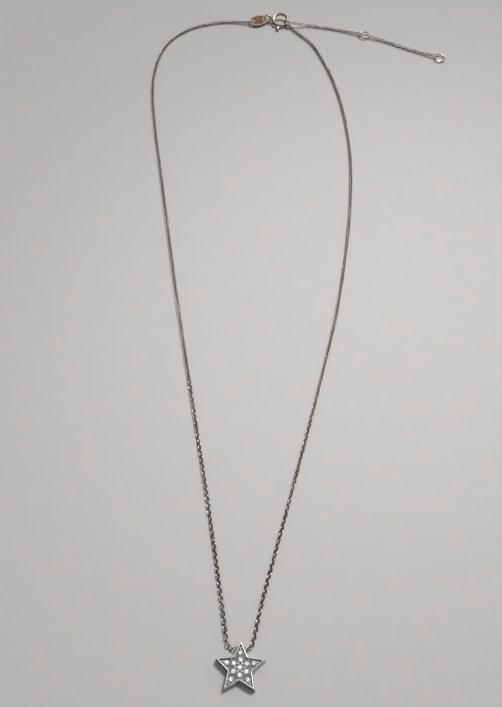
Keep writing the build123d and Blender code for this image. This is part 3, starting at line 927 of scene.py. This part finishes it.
def brilliant(stone):
    """Round brilliant cut of girdle radius 1, its girdle's middle at the origin."""
    table_height = GIRDLE + CROWN
    half_step = math.radians(180 / STONE_SIDES)
    sides, corners = range(STONE_SIDES), range(2 * STONE_SIDES)

    def at(radius, place, height):
        angle = half_step * place
        return (radius * math.cos(angle), radius * math.sin(angle), height)

    crown_slope = CROWN / (1 - stone.table_share)
    inner = stone.table_share * math.cos(half_step)
    star = inner + (1 - inner) * stone.star_share
    star_height = table_height - (star * math.cos(half_step) - stone.table_share) * crown_slope
    lower = 1 - stone.lower_share
    lower_height = -GIRDLE - PAVILION * (1 - lower * math.cos(half_step))
    form = bmesh.new()
    new = form.verts.new
    table = [new(at(stone.table_share, 2 * i, table_height)) for i in sides]
    stars = [new(at(star, 2 * i + 1, star_height)) for i in sides]
    upper = [new(at(1, i, GIRDLE)) for i in corners]
    under = [new(at(1, i, -GIRDLE)) for i in corners]
    lowers = [new(at(lower, 2 * i + 1, lower_height)) for i in sides]
    culet = new((0, 0, -GIRDLE - PAVILION))
    mosaic = stone.table_share * MOSAIC_SHARE
    inside = [new(at(mosaic, 2 * i + 1, table_height)) for i in sides]
    middle_point = new((0, 0, table_height))
    for i in sides:
        after = (i + 1) % STONE_SIDES
        form.faces.new((table[i], table[after], inside[i]))
        form.faces.new((table[i], inside[i], inside[i - 1]))
        form.faces.new((inside[i - 1], inside[i], middle_point))
        corner, middle, far = 2 * i, 2 * i + 1, 2 * after
        form.faces.new((table[after], table[i], stars[i]))
        form.faces.new((table[i], stars[i - 1], upper[corner], stars[i]))
        form.faces.new((stars[i], upper[corner], upper[middle]))
        form.faces.new((stars[i], upper[middle], upper[far]))
        form.faces.new((lowers[i], under[middle], under[corner]))
        form.faces.new((lowers[i], under[far], under[middle]))
        form.faces.new((culet, lowers[i], under[corner], lowers[i - 1]))
    for i in corners:
        after = (i + 1) % (2 * STONE_SIDES)
        form.faces.new((upper[i], under[i], under[after], upper[after]))
    bmesh.ops.recalc_face_normals(form, faces=form.faces)
    return form


# One operator for each piece or group of like pieces
class PENDANT_OT_stage(bpy.types.Operator):
    """Lay the pale floor, set the lights and place the camera"""

    bl_idname = "pendant.stage"
    bl_label = "Stage"

    def execute(self, context):
        stage = context.scene.pendant_stage
        mesh = bpy.data.meshes.new("floor")
        turns = ((-1, -1), (1, -1), (1, 1), (-1, 1))
        corners = [(x * FLOOR_REACH, y * FLOOR_REACH, -FLOOR_DROP) for x, y in turns]
        mesh.from_pydata(corners, [], [(0, 1, 2, 3)])
        floor = new_object("floor", mesh)
        mesh.materials.append(floor_material())
        key = bpy.data.lights.new("key", "SUN")
        key.angle = math.radians(KEY_SPREAD)
        key.energy = stage.key_strength
        self.hang(key, Vector((0, 0, 0)))
        pool = bpy.data.lights.new("pool", "SPOT")
        pool.spot_size = math.radians(POOL_ANGLE)
        pool.spot_blend = 1.0
        pool.shadow_soft_size = POOL_WIDTH / 2 * MM
        pool.energy = stage.pool_power
        self.hang(pool, Vector((*POOL_MIDDLE, 0)) * MM)
        self.room(context, stage.room_strength)
        self.camera(context)
        context.scene.view_settings.view_transform = "Standard"
        return {"FINISHED"}

    def hang(self, data, target):
        """Hangs a light at the window's place and aims it at a point of the floor."""
        lean = math.radians(LIGHT_LEAN)
        towards = direction(LIGHT_HEADING) * math.sin(lean) + UP * math.cos(lean)
        place = target + towards * LIGHT_DISTANCE * MM
        aim = towards.to_track_quat("Z", "Y").to_matrix().to_4x4()
        lamp = new_object(data.name, data)
        lamp.matrix_world = Matrix.Translation(place) @ aim

    def room(self, context, strength):
        """Dim room with a bright top, which polished metal mirrors with a window at one side."""
        world = bpy.data.worlds.new("Room")
        context.scene.world = world
        world.use_nodes = True
        tree = world.node_tree
        background = tree.nodes["Background"]
        around = tree.nodes.new("ShaderNodeTexCoord").outputs["Generated"]
        dim = tone_ramp(tree, towards_side(tree, around, ROOM_TOP), ROOM_TONES)
        tones = [(place, [value * part for part in MIRROR_WARMTH]) for place, value in MIRRORED_ROOM]
        window = Vector(WINDOW_SIDE).normalized()
        mirrored = tone_ramp(tree, towards_side(tree, around, window), tones)
        seen = tree.nodes.new("ShaderNodeLightPath").outputs
        glossy = mix(tree, seen["Is Glossy Ray"], dim, mirrored)
        plain = mix(tree, seen["Is Camera Ray"], glossy, (*PLAIN_ROOM, 1))
        link(tree, plain, background.inputs["Color"])
        background.inputs["Strength"].default_value = strength

    def camera(self, context):
        """Camera at the place that the photograph was taken from."""
        data = bpy.data.cameras.new("camera")
        data.sensor_width = SENSOR_WIDTH
        data.lens = FOCAL_PIXELS / PHOTO_HEIGHT * SENSOR_WIDTH
        data.clip_start, data.clip_end = CAMERA_CLIP
        tilt = Matrix.Rotation(math.radians(CAMERA_TILT), 4, "X")
        roll = Matrix.Rotation(math.radians(-CAMERA_ROLL), 4, "Z")
        camera = new_object("camera", data)
        camera.matrix_world = Matrix.Translation(Vector(CAMERA_PLACE) * MM) @ tilt @ roll
        context.scene.camera = camera


class PENDANT_OT_neck_chain(bpy.types.Operator):
    """Lay the neck chain from the tag through the star's bore to the clasp"""

    bl_idname = "pendant.neck_chain"
    bl_label = "Neck Chain"

    def execute(self, context):
        tag_link = tag_hole(-1) + direction(TAG_LINK_HEADING) * (
            END_LINK_OUTSIDE - END_LINK_WIRE) / 2 * MM
        clasp_link = joining_link(RIGHT_LINK_HEADING, -1)
        points = [first_link(tag_link, TAG_LINK_HEADING), *lying(LEFT_ROUTE)]
        points += [bail_point(-LEFT_BEND), bail_point(0), bail_point(RIGHT_BEND)]
        points += [*reversed(lying(RIGHT_ROUTE)), first_link(clasp_link, RIGHT_LINK_HEADING)]
        ends = [upright_pose(tag_link, TAG_LINK_HEADING), flat_pose(clasp_link)]
        make_chain("neck_chain", points, ends, ["chain_left", "chain_right"])
        return {"FINISHED"}


class PENDANT_OT_extension(bpy.types.Operator):
    """Lay the extension chain past the middle ring to the end ring"""

    bl_idname = "pendant.extension"
    bl_label = "Extension Chain"

    def execute(self, context):
        first = joining_link(EXTENSION_LINK_HEADING, 1)
        heading = heading_between(MIDDLE_RING_PLACE, INNER_EXTENSION_ROUTE[-1])
        last = ring_link(MIDDLE_RING_PLACE, MIDDLE_RING_OUTSIDE, heading)
        points = [first_link(first, EXTENSION_LINK_HEADING), *lying(INNER_EXTENSION_ROUTE)]
        points.append(first_link(last, heading))
        ends = [flat_pose(first), upright_pose(last, heading)]
        make_chain("extension_chain_inner", points, ends, ["extension_inner"], math.pi / 2)

        near_heading = heading_between(MIDDLE_RING_PLACE, OUTER_EXTENSION_ROUTE[0])
        far_heading = heading_between(END_RING_PLACE, OUTER_EXTENSION_ROUTE[-1])
        near = ring_link(MIDDLE_RING_PLACE, MIDDLE_RING_OUTSIDE, near_heading)
        far = ring_link(END_RING_PLACE, END_RING_OUTSIDE, far_heading)
        points = [first_link(near, near_heading), *lying(OUTER_EXTENSION_ROUTE)]
        points.append(first_link(far, far_heading))
        ends = [upright_pose(near, near_heading), upright_pose(far, far_heading)]
        make_chain("extension_chain_outer", points, ends, ["extension_outer"], odd_link=1.0)
        return {"FINISHED"}


class PENDANT_OT_findings(bpy.types.Operator):
    """Finish the tag, the clasp and the rings in rose gold"""

    bl_idname = "pendant.findings"
    bl_label = "Clasp, Tag and Rings"

    def execute(self, context):
        for node in ("tag_ring", "clasp_ring", "clasp_gate", "joining_ring", "middle_ring",
                     "end_ring"):
            repaint(node, finding_metal())
        mark_border("end_tag")
        repaint("end_tag", tag_metal())
        return {"FINISHED"}


class PENDANT_OT_setting(bpy.types.Operator):
    """Finish the star setting in white metal"""

    bl_idname = "pendant.setting"
    bl_label = "Star Setting"

    def execute(self, context):
        repaint("star_setting", setting_metal())
        return {"FINISHED"}


class PENDANT_OT_stones(bpy.types.Operator):
    """Set the twelve brilliant-cut stones in the star"""

    bl_idname = "pendant.stones"
    bl_label = "Stones"

    def execute(self, context):
        stone = context.scene.pendant_stones
        material = clear_stone_material()
        chance = random.Random(STONE_SEED)
        low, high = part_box("stone_01")
        radius = (high.x - low.x) / 2 / math.cos(math.radians(STAR_TURN))
        nodes = sorted(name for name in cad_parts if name.startswith("stone_"))
        for number, node in enumerate(nodes, 1):
            place = centre(node)
            place.z = GIRDLE_MIDDLE * MM
            tip = stone.tip * math.sqrt(chance.random())
            heading = FLASH_HEADING + chance.uniform(-FLASH_SPREAD, FLASH_SPREAD)
            lean = Matrix.Rotation(tip, 4, direction(heading + 90))
            spin = Matrix.Rotation(chance.uniform(0, math.radians(360 / STONE_SIDES)), 4, "Z")
            pose = Matrix.Translation(place) @ lean @ spin @ Matrix.Scale(radius, 4)
            form = brilliant(stone)
            bmesh.ops.transform(form, matrix=pose, verts=form.verts)
            mesh = bpy.data.meshes.new(f"cut_stone_{number:02d}")
            form.to_mesh(mesh)
            form.free()
            spark = mesh.attributes.new(PAINTED_SPARKLE, "FLOAT", "FACE")
            # Each facet gets a random level of painted sparkle
            for item in spark.data:
                item.value = chance.choice(PAINTED_SPARKLE_LEVELS)
            mesh.materials.append(material)
            piece = new_object(mesh.name, mesh)
            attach(piece, "necklace")
            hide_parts(node)
        return {"FINISHED"}


OPERATORS = (
    PENDANT_OT_stage, PENDANT_OT_neck_chain, PENDANT_OT_extension, PENDANT_OT_findings,
    PENDANT_OT_setting, PENDANT_OT_stones,
)


class PENDANT_PT_panel(bpy.types.Panel):
    """Lists the pieces of the star pendant"""

    bl_idname = "PENDANT_PT_panel"
    bl_label = "Star Pendant"
    bl_space_type = "VIEW_3D"
    bl_region_type = "UI"
    bl_category = "Pendant"

    def draw(self, context):
        for made in OPERATORS:
            self.layout.operator(made.bl_idname)


SETTINGS = {
    "pendant_stage": PendantStageSettings,
    "pendant_chain": PendantChainSettings,
    "pendant_stones": PendantStoneSettings,
    "pendant_metals": PendantMetalSettings,
}
CLASSES = (*SETTINGS.values(), *OPERATORS, PENDANT_PT_panel)


def register():
    """Registers the classes and puts their settings on the scene."""
    for made in CLASSES:
        bpy.utils.register_class(made)
    for name, group in SETTINGS.items():
        setattr(bpy.types.Scene, name, PointerProperty(type=group))


def unregister():
    """Takes the settings and the classes away again."""
    for name in SETTINGS:
        delattr(bpy.types.Scene, name)
    for made in reversed(CLASSES):
        bpy.utils.unregister_class(made)


def main():
    """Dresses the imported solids."""
    register()
    bpy.ops.pendant.stage()
    bpy.ops.pendant.neck_chain()
    bpy.ops.pendant.extension()
    bpy.ops.pendant.findings()
    bpy.ops.pendant.setting()
    bpy.ops.pendant.stones()


if __name__ == "__main__":
    main()
